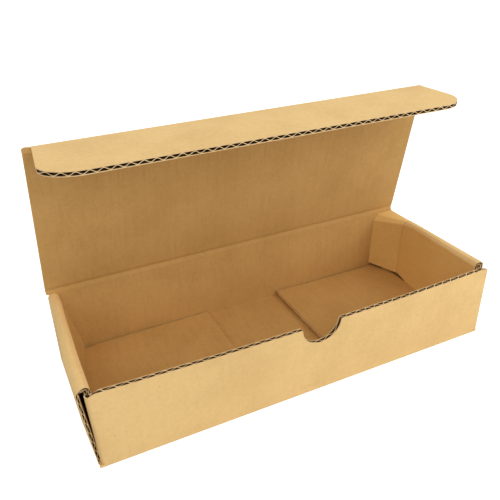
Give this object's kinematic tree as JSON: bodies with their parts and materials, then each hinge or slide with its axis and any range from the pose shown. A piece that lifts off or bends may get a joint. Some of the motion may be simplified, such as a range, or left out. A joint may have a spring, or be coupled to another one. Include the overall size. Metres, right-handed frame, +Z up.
{
  "type": "corrugated mailer box",
  "caption": "Long, low folded mailer box in kraft corrugated board: rolled ends, front wall with a thumb notch, hinged lid standing open, and a round-cornered tuck flap.",
  "frame": {"origin": "middle of the tray's underside, which rests on the ground", "axes": "+X along the box to the right as seen from the front, +Y from the front wall to the back wall, +Z up"},
  "size_m": [0.2793, 0.1106, 0.1572],
  "materials": {
    "tray_board": "matt kraft",
    "lid_board": "matt kraft",
    "flap_board": "matt kraft"
  },
  "bodies": {
    "tray": {"tray": "tray_board"},
    "lid": {"lid": "lid_board"},
    "tuck_flap": {"tuck_flap": "flap_board"}
  },
  "joints": [
    {"name": "lid_hinge", "type": "hinge", "parent": "tray", "child": "lid", "pos_m": [0, 0.0523, 0.0563], "axis": [-1, 0, 0], "range_deg": [-78.8, 101.2]},
    {"name": "tuck_flap_fold", "type": "hinge", "parent": "lid", "child": "tuck_flap", "pos_m": [0, 0.03262, 0.15567], "axis": [-1, 0, 0], "range_deg": [-36.25, 46.55]}
  ],
  "couplings": [
    {"joint": "tuck_flap_fold", "follows": "lid_hinge", "ratio": 0.46}
  ]
}
